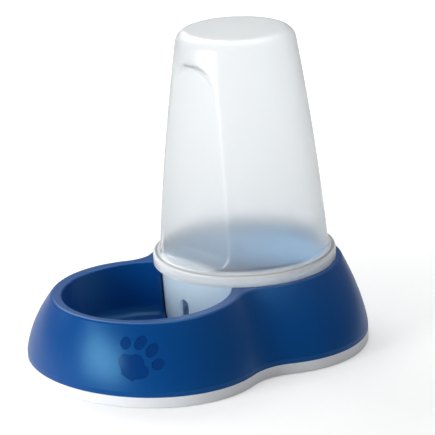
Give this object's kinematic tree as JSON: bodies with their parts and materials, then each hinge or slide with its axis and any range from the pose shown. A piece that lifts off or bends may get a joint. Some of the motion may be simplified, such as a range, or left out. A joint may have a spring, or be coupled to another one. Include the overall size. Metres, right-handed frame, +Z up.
{
  "type": "pet water dispenser",
  "caption": "Gravity pet water dispenser: a blue stand with a round drinking bowl and a milky upright reservoir whose slotted outlet cup stands in the socket behind the bowl.",
  "frame": {"origin": "on the floor, at the middle of the foot's width and length", "axes": "+Z up, -Y towards the drinking bowl, +Y towards the reservoir, X = 0 the plane of symmetry"},
  "size_m": [0.226, 0.274, 0.246],
  "materials": {
    "blue_plastic": "satin",
    "white_rubber": "satin",
    "milky_plastic": "satin",
    "clouded_plastic": "satin",
    "soft_seal": "matte"
  },
  "bodies": {
    "stand": {"base": "blue_plastic", "anti_slip_ring": "white_rubber"},
    "outlet": {"outlet_cup": "clouded_plastic", "seal_ring": "soft_seal"},
    "tank": {"reservoir": "milky_plastic"}
  },
  "joints": [
    {"name": "cup_lift", "type": "slide", "parent": "stand", "child": "outlet", "axis": [0, 0, 1], "range_m": [0, 0.08]},
    {"name": "reservoir_lift", "type": "slide", "parent": "outlet", "child": "tank", "axis": [0, 0, 1], "range_m": [0, 0.06]}
  ]
}
